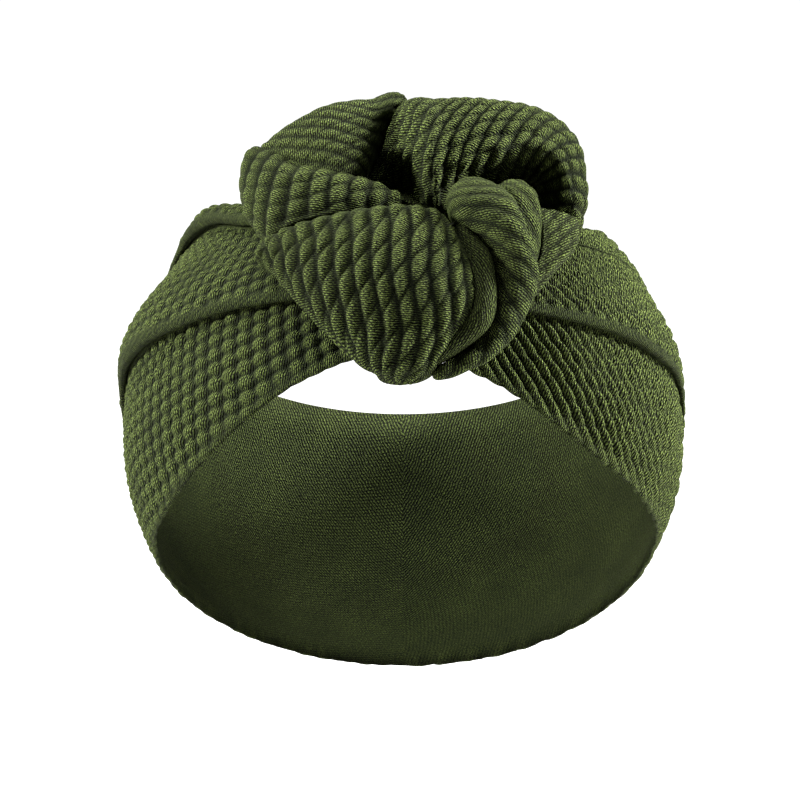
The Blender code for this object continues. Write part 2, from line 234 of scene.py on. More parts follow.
# How deep the valleys between two ribs are, as a share of the whole
VALLEY_SHARE = 0.85

# How far the rows of bumps stray from straight, in metres
WANDER = 0.00035


def smooth_rows(rows, keys, at):
    """The rows at many places between the keys, on a smooth curve through all of them."""
    rows = np.array(rows, float)
    keys = np.array(keys, float)
    low = np.maximum(np.arange(len(keys)) - 1, 0)
    high = np.minimum(np.arange(len(keys)) + 1, len(keys) - 1)
    slopes = (rows[high] - rows[low]) / (keys[high] - keys[low])[:, None]
    k = np.clip(np.searchsorted(keys, at, side="right") - 1, 0, len(keys) - 2)
    step = (keys[k + 1] - keys[k])[..., None]
    t = (at - keys[k])[..., None] / step
    to_next = 3 * t**2 - 2 * t**3
    leaving = (t**3 - 2 * t**2 + t) * step
    arriving = (t**3 - t**2) * step
    return (1 - to_next) * rows[k] + leaving * slopes[k] + to_next * rows[k + 1] + arriving * slopes[k + 1]


def eased(share):
    """0 to 1 with a soft start and end."""
    share = np.clip(share, 0, 1)
    return share * share * (3 - 2 * share)


def unit(vectors):
    return vectors / np.maximum(np.linalg.norm(vectors, axis=-1, keepdims=True), 1e-12)


# ---------------------------------------------------------------------------------------------- the knit


def drifted(right, up):
    """Places in the knit that stray a little from their straight rows."""
    drift_right = right + WANDER * np.sin(up / 0.0047 + 1.0) + WANDER * np.sin(right / 0.0081 + up / 0.0113)
    drift_up = up + WANDER * np.sin(right / 0.0052 + 2.0) + WANDER * np.sin(up / 0.0094 - right / 0.0127)
    return drift_right, drift_up


def staggered_bumps(knit, right, up):
    """Round bumps in staggered rows, from 0 in the valleys to 1."""
    cell = np.array(((knit.side_right, knit.rise_right), (knit.side_up, knit.rise_up))) * MILLIMETRE
    steps = np.stack((right, up), axis=-1) @ np.linalg.inv(cell).T
    lean = math.radians(knit.lean)
    best = np.zeros(right.shape)
    for shift in (0.0, 0.5):
        nearest = np.round(steps - shift) + shift
        for i in (-1, 0, 1):
            for j in (-1, 0, 1):
                off = (steps - nearest - np.array((i, j))) @ cell.T / MILLIMETRE
                along = (off[..., 0] * math.cos(lean) + off[..., 1] * math.sin(lean)) / knit.half_length
                across = (off[..., 1] * math.cos(lean) - off[..., 0] * math.sin(lean)) / knit.half_width
                best = np.maximum(best, 1 - along**2 - across**2)
    return best


def ribbed_bumps(ribs, right, up):
    """Ribs of bumps, from 0 in the valleys between them to 1."""
    angle = math.radians(ribs.angle)
    across = (right * math.sin(angle) - up * math.cos(angle)) / MILLIMETRE / ribs.spacing
    along = (right * math.cos(angle) + up * math.sin(angle)) / MILLIMETRE / ribs.length
    rib = np.round(across)
    off = across - rib
    stray = 0.12 * np.sin(rib * 2.4)
    bump = along + ribs.slip * off + ribs.stagger * rib + stray
    seam = np.abs(bump - np.floor(bump) - 0.5) * 2
    skewed = off + ribs.skew * (0.25 - off**2)
    return (1 - VALLEY_SHARE * (2 * skewed) ** 2).clip(0) * (1 - ribs.sink * seam**3)


def knit_relief(knit, right, up):
    """How high the knit's bumps stand at each place, from 0 to 1. Places are in metres on the face."""
    shape = ribbed_bumps if isinstance(knit, Ribs) else staggered_bumps
    uneven = 0.88 + 0.12 * np.sin(right / 0.0043 + 2.0) * np.sin(up / 0.0057 + 0.5)
    return shape(knit, *drifted(right, up)) * uneven


def stitch_places(knit, right, up):
    """Metres across the fine lines of stitches, and metres along them."""
    lean = math.radians(knit.stitch_lean)
    across = up * math.cos(lean) - right * math.sin(lean)
    along = right * math.cos(lean) + up * math.sin(lean)
    return np.stack((across, along), axis=-1)


# ---------------------------------------------------------------------------------------------- materials


class Wire:
    """A node's socket, on which shader maths is written as Python expressions."""

    def __init__(self, socket):
        self.socket = socket

    def node(self, kind, settings=None, sockets=None, output=0):
        """Adds any node: its type, its settings, and the values or wires of its sockets."""
        tree = self.socket.id_data
        added = tree.nodes.new(kind)
        for key, value in (settings or {}).items():
            setattr(added, key, value)
        for key, value in (sockets or {}).items():
            if isinstance(value, Wire):
                tree.links.new(value.socket, added.inputs[key])
            else:
                added.inputs[key].default_value = value
        return Wire(added.outputs[output])

    def math(self, operation, *values):
        return self.node("ShaderNodeMath", {"operation": operation}, dict(enumerate(values)))

    def __add__(self, other):
        return self.math("ADD", self, other)

    def __sub__(self, other):
        return self.math("SUBTRACT", self, other)

    def __mul__(self, other):
        return self.math("MULTIPLY", self, other)

    def __truediv__(self, other):
        return self.math("DIVIDE", self, other)

    def __radd__(self, other):
        return self.math("ADD", other, self)

    def __rsub__(self, other):
        return self.math("SUBTRACT", other, self)

    def __rmul__(self, other):
        return self.math("MULTIPLY", other, self)

    def __abs__(self):
        return self.math("ABSOLUTE", self)

    def sine(self):
        return self.math("SINE", self)

    def floor(self):
        return self.math("FLOOR", self)

    def clamped(self):
        return self.node("ShaderNodeClamp", None, {0: self})

    def blended(self, low, high):
        """The first colour where this is 0, and the second where it is 1."""
        return self.node("ShaderNodeMix", {"data_type": "RGBA"}, {0: self, 6: low, 7: high}, output=2)

    def next_output(self):
        """The second output of the node whose first this is."""
        return Wire(self.socket.node.outputs[1])


# The yarn's colours: in the gaps between stitches near black as painted shade, in the valleys between bumps a painted
# shade, and on the bumps the yarn itself; then its stitches in metres, and how fine its unevenness is
GAP_SHADE_COLOUR = (0.003, 0.004, 0.002, 1.0)
VALLEY_SHADE_COLOUR = (0.012, 0.019, 0.004, 1.0)
YARN_COLOUR = (0.138, 0.184, 0.044, 1.0)
STITCH_WIDTH = 0.00052
STITCH_LENGTH = 0.00105
WOBBLE_SCALE = 420.0
FUZZ_SCALE = 2200.0
PATCH_SCALE = 90.0


def knit_material():
    """Dark green yarn in fine stitches, with painted shade in the valleys between the bumps and in the stitches'
    gaps.
    """
    material = bpy.data.materials.new("green_bullet_knit")
    material.use_nodes = True
    tree = material.node_tree
    shader = tree.nodes["Principled BSDF"]
    shader.inputs["Roughness"].default_value = 0.85
    shader.inputs["Specular IOR Level"].default_value = 0.06
    shader.inputs["Sheen Weight"].default_value = 0.03
    shader.inputs["Sheen Roughness"].default_value = 0.5
    shader.inputs["Sheen Tint"].default_value = (0.75, 0.85, 0.35, 1.0)
    start = Wire(shader.outputs[0])
    place = start.node("ShaderNodeUVMap", {"uv_map": "stitches"})

    def noise(scale, detail):
        return start.node("ShaderNodeTexNoise", None, {"Vector": place, "Scale": scale, "Detail": detail})

    across = start.node("ShaderNodeSeparateXYZ", None, {0: place})
    along = across.next_output()
    wobble = noise(WOBBLE_SCALE, 3.0)
    column = across / STITCH_WIDTH + (wobble - 0.5) * 1.6
    wale = abs((column * math.pi).sine())
    row = along / STITCH_LENGTH + column.floor() * 0.37
    loop = abs((row * math.pi).sine())
    stitch = wale * (0.6 + 0.4 * loop)
    relief = start.node("ShaderNodeAttribute", {"attribute_name": "relief"}, None, output=2)
    fuzz = noise(FUZZ_SCALE, 4.0)
    patches = noise(PATCH_SCALE, 2.0)
    # Painted shade: where the relief attribute is low, in the valleys between bumps, the yarn is darkened, with
    # random patches of tone.
    shade_to_yarn = (relief * 2.1 - 0.5 + (patches - 0.5) * 0.5).clamped()
    # Painted shade: the gaps of the knit's own stitch pattern are painted near black.
    gap_shade_mix = (stitch * 1.2 - 0.5 + (fuzz - 0.5) * 2.4).clamped()
    colour = gap_shade_mix.blended(GAP_SHADE_COLOUR, shade_to_yarn.blended(VALLEY_SHADE_COLOUR, YARN_COLOUR))
    bump = start.node("ShaderNodeBump", None, {"Strength": 0.9, "Distance": 0.0005, "Height": stitch + fuzz * 0.6})
    tree.links.new(colour.socket, shader.inputs["Base Color"])
    tree.links.new(bump.socket, shader.inputs["Normal"])
    return material


def plain_material(name, colour, roughness):
    material = bpy.data.materials.new(name)
    material.use_nodes = True
    shader = material.node_tree.nodes["Principled BSDF"]
    shader.inputs["Base Color"].default_value = colour
    shader.inputs["Roughness"].default_value = roughness
    return material


# ---------------------------------------------------------------------------------------------- the band

# The grid of the band: its columns, how many of them lie over its front, and its rows in each part of the section
BAND_COLUMNS = 570
FRONT_TURN = math.radians(95)
FRONT_COLUMNS_SHARE = 0.8
SECTION_PARTS = (("lower", 60), ("under_middle", 10), ("middle", 50), ("under_hem", 8), ("hem", 24), ("inside", 12))

# The laps: how deep the cloth goes in under them, the room left there, how their lips roll, how soon the pleat comes
# down behind its lip, and how round the rims are on the inside
POCKET_DEPTH = 0.0042
POCKET_GAP = 0.0005
HEM_POCKET_SHARE = 0.6
POCKET_RUN = 0.4
LEAST_LIFT = 0.02
LIP_ROLL = 1.8
HEM_ROLL = math.radians(81)
PLEAT_FALL = 1.15
INNER_RIM = 0.7

# The low swelling of the band's upper part at the right, in degrees and metres
PUFF_AZIMUTH = 38.0
PUFF_REACH = 20.0
PUFF_HEIGHT = 0.0007

# How much of the knit's relief is left on the lips and at the two rims, how far it takes to come back, in metres, and
# from which share of a pocket's depth it is gone
LIP_RELIEF = 0.25
LOWER_RIM_RELIEF = 0.3
UPPER_RIM_RELIEF = 0.4
SMOOTH_LIP = 0.003
LOWER_RIM = 0.004
UPPER_RIM = 0.003
TUCK_FADE = 0.001
CREASE_TUCK = 0.4
HEM_TUCK = 0.25

# Over which turns the knits of the two sides run into each other, at the front and at the back
FRONT_BLEND = math.radians(14)
BACK_BLEND = math.radians(5)

# How near the flower's folds the band's bumps fade out, in metres
FOLD_ROOM = 0.002
FOLD_TOUCH = 0.0002
FOLD_FADE = 0.0012


def head_points(turn, rise, height):
    """Points this high over the round, at a turn in radians from the front and a rise above the band's middle."""
    latitude = rise / MEAN_RADIUS
    level = np.cos(latitude)
    right, back, up = np.sin(turn) * level, -np.cos(turn) * level, np.sin(latitude)
    lean_cos = math.cos(BAND_TILT)
    lean_sin = math.sin(BAND_TILT)
    leaned = np.stack((right, back * lean_cos + up * lean_sin, up * lean_cos - back * lean_sin), axis=-1)
    half = np.array((HEAD_BREADTH, HEAD_LENGTH, HEAD_HEIGHT)) / 2
    point = leaned / np.linalg.norm(leaned / half, axis=-1, keepdims=True)
    return point + unit(point / half**2) * np.asarray(height)[..., None]


def band_stations(turn):
    rows = [row._replace(azimuth=row.azimuth - 360) for row in BAND[-2:]]
    rows += list(BAND)
    rows += [row._replace(azimuth=row.azimuth + 360) for row in BAND[:2]]
    return smooth_rows(rows, [row.azimuth for row in rows], np.degrees(turn))


def shares(count):
    """The places of a part's points, from 0 up to but not including 1."""
    return np.linspace(0, 1, count + 1)[None, :-1]


def rim_height(share):
    """The height of the cloth's round rim, from half its thickness up to the whole of it."""
    return CLOTH_THICKNESS * (0.5 + 0.5 * np.sqrt(1 - (1 - share) ** 2))


def lap(start_rise, pocket, bottom, gap, top, count):
    """The under side of a fold that laps over the cloth below it: down the pocket and round the lip."""
    share = shares(count)
    radius = (top - bottom - gap) / 2
    down = share < POCKET_RUN
    run = np.where(down, share / POCKET_RUN, 1)
    angle = np.clip((share - POCKET_RUN) / (1 - POCKET_RUN), 0, 1) * math.pi
    reach = np.where(angle < math.pi / 2, radius, radius * LIP_ROLL)
    rise = start_rise + np.where(down, pocket * (1 - run) + radius * run, reach * (1 - np.sin(angle)))
    height = bottom + gap + np.where(down, 0, radius * (1 - np.cos(angle)))
    return rise, height


def band_section(turn):
    """The rise and height of the points round the band's section, at each turn."""
    stations = band_stations(turn).T[:, :, None]
    lower, crease, hem, upper = stations[1:5] * BAND_WIDTH
    crease_lift, hem_lift = np.maximum(stations[5:7], LEAST_LIFT)
    counts = dict(SECTION_PARTS)
    thick = CLOTH_THICKNESS
    crease_pocket = POCKET_DEPTH * np.minimum(crease_lift, 1)
    hem_pocket = POCKET_DEPTH * HEM_POCKET_SHARE * np.minimum(hem_lift, 1)
    crease_gap = POCKET_GAP * np.minimum(crease_lift, 1)
    hem_gap = POCKET_GAP * np.minimum(hem_lift, 1)

    rise = lower + (crease + crease_pocket - lower) * shares(counts["lower"])
    parts = [(rise, rim_height(np.clip((rise - lower) / thick, 0, 1)))]

    lip_top = thick + crease_lift * PLEAT_HEIGHT
    parts.append(lap(crease, crease_pocket, thick, crease_gap, lip_top, counts["under_middle"]))

    roll = (lip_top - thick - crease_gap) / 2 * LIP_ROLL
    rise = crease + roll + (hem + hem_pocket - crease - roll) * shares(counts["middle"])
    whole = np.clip((rise - crease - roll) / (hem - crease - roll), 0, 1)
    height = thick + crease_lift * PLEAT_HEIGHT * (1 - eased(whole * PLEAT_FALL))
    parts.append((rise, height))

    hem_top = thick + hem_lift * PLEAT_HEIGHT
    parts.append(lap(hem, hem_pocket, thick, hem_gap, hem_top, counts["under_hem"]))

    roll = (hem_top - thick - hem_gap) / 2 * LIP_ROLL
    rise = hem + roll + (upper - hem - roll) * shares(counts["hem"])
    whole = np.clip((rise - hem - roll) / (upper - hem - roll), 0, 1)
    edge = np.clip((upper - rise) / thick, 0, 1)
    parts.append((rise, rim_height(edge) + hem_lift * PLEAT_HEIGHT * np.cos(HEM_ROLL * whole)))

    share = np.linspace(0, 1, counts["inside"] + 1)[None, :]
    rise = upper + (lower - upper) * share
    from_edge = np.minimum(upper - rise, rise - lower)
    at_edge = thick * 0.5 + np.where(share < 0.5, hem_lift * PLEAT_HEIGHT * math.cos(HEM_ROLL), 0)
    parts.append((rise, at_edge * (1 - eased(from_edge / thick / INNER_RIM))))

    puff = PUFF_HEIGHT * eased(1 - np.abs(np.degrees(turn)[:, None] - PUFF_AZIMUTH) / PUFF_REACH)
    parts = [(rise, height + puff * eased((rise / BAND_WIDTH - 0.05) / 0.2)) for rise, height in parts]
    return (np.concatenate([part[k] for part in parts], axis=1) for k in (0, 1))


def band_turns():
    """The turns of the band's columns, closer together over its front."""
    share = np.linspace(-1, 1, BAND_COLUMNS + 1)
    inner = share / FRONT_COLUMNS_SHARE * FRONT_TURN
    outer = FRONT_TURN + (np.abs(share) - FRONT_COLUMNS_SHARE) / (1 - FRONT_COLUMNS_SHARE) * (math.pi - FRONT_TURN)
    return np.where(np.abs(share) <= FRONT_COLUMNS_SHARE, inner, np.sign(share) * outer)


def level_places(points):
    """Metres round the upright axis and metres up, for the knit that lies level on the band's front."""
    right, back, up = (points[..., k] / size for k, size in enumerate((HEAD_BREADTH, HEAD_LENGTH, HEAD_HEIGHT)))
    return np.arctan2(right, -back) * MEAN_RADIUS, np.arctan2(up, np.hypot(right, back)) * MEAN_RADIUS


def band_places(turn, rise):
    """Where each point of the band lies in the knit, in metres. Round the back the knit runs on straight."""
    small = 0.01
    clipped = np.clip(turn, -FRONT_TURN, FRONT_TURN)[:, None] + 0 * rise
    right, up = level_places(head_points(clipped, rise, 0 * rise))
    before_right, before_up = level_places(head_points(clipped - np.sign(turn)[:, None] * small, rise, 0 * rise))
    beyond = (np.abs(turn) - FRONT_TURN).clip(0)[:, None] / small
    return right + (right - before_right) * beyond, up + (up - before_up) * beyond


def grid_normals(points):
    """Normals of a grid that closes on itself both ways, whose first and last rows are the same."""
    ring = points[:-1, :-1]
    around = np.roll(ring, -1, axis=0) - np.roll(ring, 1, axis=0)
    across = np.roll(ring, -1, axis=1) - np.roll(ring, 1, axis=1)
    normals = unit(np.cross(around, across))
    normals = np.concatenate((normals, normals[:1]), axis=0)
    return np.concatenate((normals, normals[:, :1]), axis=1)


def section_parts():
    """For each point round the section: which part of the band it is in."""
    names = [name for name, count in SECTION_PARTS for k in range(count)]
    return np.array(names + ["inside"])


def band_relief(turn, rises, parts):
    """The height of the knit's bumps over the whole band, and how deep they are at each place, in metres."""
    right, up = band_places(turn, rises)
    relief = np.zeros(rises.shape)
    depth = np.zeros(rises.shape)
    is_middle = np.isin(parts, ("under_middle", "middle", "under_hem", "hem"))[None, :]
    at_back = 0.5 * (1 - eased((math.pi - np.abs(turn)) / BACK_BLEND))
    left = (1 - eased(turn / FRONT_BLEND + 0.5) + np.where(turn < 0, -at_back, at_back))[:, None]
    for side, weight in (("left", left), ("right", 1 - left)):
        for part, mask in (("lower", ~is_middle), ("middle", is_middle)):
            knit = BAND_KNITS[side + "_" + part]
            share = weight * mask
            relief += share * knit_relief(knit, right, up)
            depth += share * knit.depth * MILLIMETRE
    return relief, depth, right, up


def set_attribute(mesh, name, values):
    attribute = mesh.attributes.new(name, "FLOAT", "POINT")
    attribute.data.foreach_set("value", values.astype(np.float32))


def set_stitches(mesh, places):
    """Lays the stitches on a mesh, from the place of each of its points in the knit."""
    corners = np.zeros(len(mesh.loops), int)
    mesh.loops.foreach_get("vertex_index", corners)
    mesh.uv_layers.new(name="stitches").data.foreach_set("uv", places[corners].astype(np.float32).ravel())


def points_of(mesh):
    points = np.zeros(len(mesh.vertices) * 3)
    mesh.vertices.foreach_get("co", points)
    return points.reshape(-1, 3)


def put(mesh, points):
    mesh.vertices.foreach_set("co", points.astype(np.float32).ravel())
    mesh.update()


def lay_grid(name, points, stitches, relief):
    """A mesh from a grid whose corners are laid at the given points, with its stitches and the relief that drives the
    painted shade in its valleys.
    """
    columns, rows = points.shape[0] - 1, points.shape[1] - 1
    shape = bmesh.new()
    bmesh.ops.create_grid(shape, x_segments=columns, y_segments=rows, size=1)
    shape.verts.ensure_lookup_table()
    flat = np.array([corner.co[:] for corner in shape.verts])
    i = np.rint((flat[:, 0] + 1) / 2 * columns).astype(int)
    j = np.rint((flat[:, 1] + 1) / 2 * rows).astype(int)
    mesh = bpy.data.meshes.new(name)
    shape.to_mesh(mesh)
    shape.free()
    put(mesh, points[i, j])
    set_stitches(mesh, stitches[i, j])
    set_attribute(mesh, "relief", relief[i, j])
    return mesh


def merged(mesh, distance):
    """Merges the seam of a closed grid and turns its faces outwards."""
    shape = bmesh.new()
    shape.from_mesh(mesh)
    bmesh.ops.remove_doubles(shape, verts=shape.verts, dist=distance)
    shape.normal_update()
    bmesh.ops.recalc_face_normals(shape, faces=shape.faces)
    shape.to_mesh(mesh)
    shape.free()
    mesh.shade_smooth()


def lookup(objects):
    """A tree of the nearest faces of several pieces."""
    joined = bmesh.new()
    for piece in objects:
        joined.from_mesh(piece.data)
    tree = BVHTree.FromBMesh(joined)
    joined.free()
    return tree


def clear_room(points, tree, reach):
    """How far each point is from the faces in the tree, up to a reach."""
    room = np.full(len(points), reach)
    for k, point in enumerate(points):
        found = tree.find_nearest(Vector(point), reach)
        if found[3] is not None:
            room[k] = found[3]
    return room


def band_strength(stations, rises, parts):
    """How much of the knit's relief shows at each place: less on the lips and rims, and none in the tucks."""
    lower, crease, hem, upper = (stations[:, k, None] * BAND_WIDTH for k in (1, 2, 3, 4))
    crease_lap, hem_lap = (stations[:, k, None].clip(0, 1) for k in (5, 6))
    is_lower, is_middle, is_hem = ((parts == name)[None, :] for name in ("lower", "middle", "hem"))
    off_lip = 1 - is_middle * crease_lap * (1 - eased((rises - crease) / SMOOTH_LIP))
    off_lip = off_lip * (1 - is_hem * hem_lap * (1 - eased((rises - hem) / SMOOTH_LIP)))
    tuck = 1 - is_lower * (1 - eased((crease + POCKET_DEPTH * CREASE_TUCK * crease_lap - rises) / TUCK_FADE))
    tuck = tuck * (1 - is_middle * (1 - eased((hem + POCKET_DEPTH * HEM_TUCK * hem_lap - rises) / TUCK_FADE)))
    lower_rim = LOWER_RIM_RELIEF + (1 - LOWER_RIM_RELIEF) * eased((rises - lower) / LOWER_RIM)
    upper_rim = UPPER_RIM_RELIEF + (1 - UPPER_RIM_RELIEF) * eased((upper - rises) / UPPER_RIM)
    outside = is_lower | is_middle | is_hem
    return outside * (LIP_RELIEF + (1 - LIP_RELIEF) * off_lip) * tuck * lower_rim * upper_rim


def make_band(material, folds):
    """The band as one closed sheet, with its bumps lower where the folds of the flower lie on it."""
    turn = band_turns()
    rises, heights = band_section(turn)
    parts = section_parts()
    relief, depth, right, up = band_relief(turn, rises, parts)
    points = head_points(turn[:, None] + 0 * rises, rises, heights)
    normals = grid_normals(points)
    if np.mean(np.sum(normals[:, 20] * unit(points[:, 20]), axis=-1)) < 0:
        normals = -normals
    strength = band_strength(band_stations(turn), rises, parts)
    move = strength * depth * (relief - (1 - CREST_SHARE))
    away = clear_room(points.reshape(-1, 3), folds, FOLD_ROOM).reshape(rises.shape)
    move = np.where(move > 0, move * eased((away - FOLD_TOUCH) / FOLD_FADE), move)
    points = points + normals * move[..., None]
    points[-1] = points[0]
    points[:, -1] = points[:, 0]
    on_left = (turn < 0)[:, None] | (parts == "inside")[None, :]
    left_lines, right_lines = (stitch_places(BAND_KNITS[name], right, up) for name in ("left_lower", "right_lower"))
    stitches = np.where(on_left[..., None], left_lines, right_lines)
    # Painted shade: this relief attribute darkens the knit's colour in the valleys between bumps; smooth cloth gets a
    # middle value, and the inside a flat, slightly darker one.
    is_outside = np.isin(parts, ("lower", "middle", "hem"))[None, :]
    relief_for_shade = np.where(is_outside, relief * strength + (1 - strength) * 0.5, 0.4)
    mesh = lay_grid("band_cloth", points, stitches, relief_for_shade)
    merged(mesh, 1e-7)
    mesh.materials.append(material)
    piece = bpy.data.objects.new("band_cloth", mesh)
    bpy.context.scene.collection.objects.link(piece)
    return piece


# ---------------------------------------------------------------------------------------------- the flower

# The smooth skin of a fold, and the size of the small even faces that its copy gets
PETAL_RINGS = 90
PETAL_SIDES = 120
HEADING_STEPS = 4
VOXEL = 0.00042

# Rounds of smoothing, before the skin is found, before the dents and after them, and the two shares that take turns
FIRST_ROUNDS = 6
DENT_ROUNDS = 4
LAST_ROUNDS = 10
SHRINK = 0.5
SWELL = -0.53

# How near a point is to the smooth skin to be part of it, how much of the way it is then pulled on to it, and how
# much of the way a corner is pulled on to its round
SKIN_REACH = 0.0009
SKIN_PULL = 0.8
CORNER_PULL = 0.85

# The room a fold leaves to the pieces made before it, in metres, and how its bumps fade near them
PIECE_GAP = 0.00012
CLEAR_REACH = 0.0025
CLEAR_DEPTH = 0.0016
ROOM_REACH = 0.003
ROOM_TOUCH = 0.0002
ROOM_FADE = 0.002


def flower_points(across, up, out):
    anchor = head_points(
        np.array(math.radians(FLOWER_AZIMUTH)), np.array(FLOWER_RISE * BAND_WIDTH), np.array(CLOTH_THICKNESS)
    )
    upward = np.array((0, math.sin(FLOWER_FACING), math.cos(FLOWER_FACING)))
    forward = np.array((0, -math.cos(FLOWER_FACING), math.sin(FLOWER_FACING)))
    leaning_out = out - math.tan(FLOWER_LEAN) * up
    side = np.array((1.0, 0, 0))
    off = across[..., None] * side + up[..., None] * upward + leaning_out[..., None] * forward
    return anchor + off * FLOWER_WIDTH


def flower_axes():
    """The middle of the flower's face, and the unit ways to its right, up and outwards."""
    places = flower_points(*np.eye(4, 3, -1).T)
    rightward, leaning, forward = (places[1:] - places[0]) / FLOWER_WIDTH
    return places[0], rightward, leaning + forward * math.tan(FLOWER_LEAN), forward


def petal_sections(rows, at):
    row = smooth_rows(rows, np.linspace(0, 1, len(rows)), at) * HUNDREDTH
    start = flower_points(row[..., 0], row[..., 1], row[..., 2])
    end = flower_points(row[..., 3], row[..., 4], row[..., 5])
    return start, end, row[..., 6] * FLOWER_WIDTH, row[..., 7] * FLOWER_WIDTH


def rounded(part):
    return np.copysign(np.abs(part) ** (2 / SQUARENESS), part)


def petal_skin(petal):
    """The smooth skin of a petal as a grid of points, along it and round it."""
    along = np.linspace(0, 1, PETAL_RINGS + 1)
    turn = np.linspace(-math.pi / 2, 3 * math.pi / 2, PETAL_SIDES + 1)
    at = np.clip((along - CAP_SHARE) / (1 - 2 * CAP_SHARE), 0, 1)
    start, end, crown, under = petal_sections(petal.rows, at)
    before = petal_sections(petal.rows, np.maximum(at - RUN_STEP, 0))
    after = petal_sections(petal.rows, np.minimum(at + RUN_STEP, 1))
    run = unit(after[0] + after[1] - before[0] - before[1])
    chord = end - start
    bulge = unit(np.cross(chord, run))
    bulge = bulge * np.where(bulge @ flower_axes()[-1] < 0, -1, 1)[:, None]
    angle = np.where(along < CAP_SHARE, along, 1 - along).clip(0, CAP_SHARE) / CAP_SHARE * math.pi / 2
    shrink = np.sin(angle)
    cap = np.where(along < CAP_SHARE, -petal.start_cap, petal.end_cap)
    middle = (start + end) / 2 + run * (np.cos(angle) * cap)[:, None] * HUNDREDTH * FLOWER_WIDTH
    side = rounded(np.cos(turn))[None, :] * shrink[:, None]
    face = rounded(np.sin(turn))[None, :] * shrink[:, None]
    depth = np.where(face > 0, crown[:, None], under[:, None])
    return middle[:, None] - chord[:, None] / 2 * side[..., None] + bulge[:, None] * (depth * face)[..., None]


def petal_places(skin):
    """Where each point of a petal's skin lies in its knit: metres to the right and up, seen from the front."""
    middle_ring = PETAL_RINGS // 2
    middle_side = PETAL_SIDES // 2
    round_steps = np.linalg.norm(np.diff(skin, axis=1), axis=-1)
    around = np.concatenate((np.zeros((len(skin), 1)), np.cumsum(round_steps, axis=1)), axis=1)
    around = around - around[:, middle_side, None]
    along_steps = np.linalg.norm(np.diff(skin[:, middle_side], axis=0), axis=-1)
    along = np.concatenate(((0,), np.cumsum(along_steps)))
    along = (along - along[middle_ring])[:, None] + 0 * around
    to_end = skin[middle_ring, middle_side + HEADING_STEPS] - skin[middle_ring, middle_side - HEADING_STEPS]
    onward = skin[middle_ring + HEADING_STEPS, middle_side] - skin[middle_ring - HEADING_STEPS, middle_side]
    heading = math.atan2(to_end @ CAMERA_UP, to_end @ CAMERA_RIGHT)
    onward_heading = math.atan2(onward @ CAMERA_UP, onward @ CAMERA_RIGHT)
    turned = math.copysign(math.pi / 2, math.sin(onward_heading - heading))
    right = around * math.cos(heading) + along * math.cos(heading + turned)
    up = around * math.sin(heading) + along * math.sin(heading + turned)
    return right, up


def without_crumbs(mesh):
    """Takes away the small loose bits that the even faces leave beside the fold."""
    shape = bmesh.new()
    shape.from_mesh(mesh)
    left = set(shape.verts)
    islands = []
    while left:
        rim = [left.pop()]
        island = list(rim)
        while rim:
            around = {line.other_vert(corner) for corner in rim for line in corner.link_edges} & left
            left -= around
            rim = list(around)
            island += rim
        islands.append(island)
    islands.sort(key=len)
    for island in islands[:-1]:
        bmesh.ops.delete(shape, geom=island, context="VERTS")
    shape.to_mesh(mesh)
    shape.free()


def remeshed(node):
    """A copy of a CAD solid in small even faces."""
    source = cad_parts[node]
    shape = bmesh.new()
    shape.from_mesh(source.data)
    bmesh.ops.remove_doubles(shape, verts=shape.verts, dist=1e-6)
    mesh = bpy.data.meshes.new(node + "_cloth")
    shape.to_mesh(mesh)
    shape.free()
    mesh.materials.clear()
    piece = bpy.data.objects.new(node + "_cloth", mesh)
    bpy.context.scene.collection.objects.link(piece)
    even = piece.modifiers.new("even_faces", "REMESH")
    even.mode = "VOXEL"
    even.voxel_size = VOXEL
    graph = bpy.context.evaluated_depsgraph_get()
    piece.data = bpy.data.meshes.new_from_object(piece.evaluated_get(graph))
    piece.data.name = node + "_cloth"
    piece.modifiers.clear()
    without_crumbs(piece.data)
    return piece


def smoothed(mesh, rounds):
    """Evens out the small steps that the even faces leave."""
    edges = np.zeros(len(mesh.edges) * 2, int)
    mesh.edges.foreach_get("vertices", edges)
    edges = edges.reshape(-1, 2)
    points = points_of(mesh)
    count = np.bincount(edges.ravel(), minlength=len(points))[:, None]
    for k in range(rounds):
        total = np.zeros_like(points)
        np.add.at(total, edges[:, 0], points[edges[:, 1]])
        np.add.at(total, edges[:, 1], points[edges[:, 0]])
        points = points + (total / count - points) * (SWELL if k % 2 else SHRINK)
    return points


def dented(name, points, normals):
    """The points moved by the small dents of their fold. Only the face that looks forwards is pushed in or out."""
    middle, rightward, upward, forward = flower_axes()
    off = (points - middle) / FLOWER_WIDTH / HUNDREDTH
    across = off @ rightward
    up = off @ upward
    facing = eased((normals @ forward + 0.15) / 0.5)
    for dent in DENTS.get(name, ()):
        run = np.array((dent.to_across - dent.across, dent.to_up - dent.up), float)
        share = ((across - dent.across) * run[0] + (up - dent.up) * run[1]) / max(run @ run, 1e-9)
        share = np.clip(share, 0, 1)
        away = np.hypot(across - dent.across - share * run[0], up - dent.up - share * run[1])
        weight = eased(1 - away / dent.reach)[:, None] * MILLIMETRE
        in_plane = dent.right * rightward + dent.rise * upward
        points = points + weight * (in_plane + (dent.out * facing)[:, None] * forward)
    for corner in CORNERS.get(name, ()):
        right = across - corner.across
        rise = up - corner.up
        far = np.hypot(right, rise)
        toward = np.cos(np.arctan2(rise, right) - math.radians(corner.heading))
        beyond = np.maximum(far - corner.radius, 0) / np.maximum(far, 1e-6)
        pull = eased((toward - 0.1) / 0.5) * CORNER_PULL * beyond
        step = right[:, None] * rightward + rise[:, None] * upward
        points = points - step * pull[:, None] * HUNDREDTH * FLOWER_WIDTH
    return points


def normals_of(mesh):
    normals = np.zeros(len(mesh.vertices) * 3)
    mesh.vertex_normals.foreach_get("vector", normals)
    return normals.reshape(-1, 3)


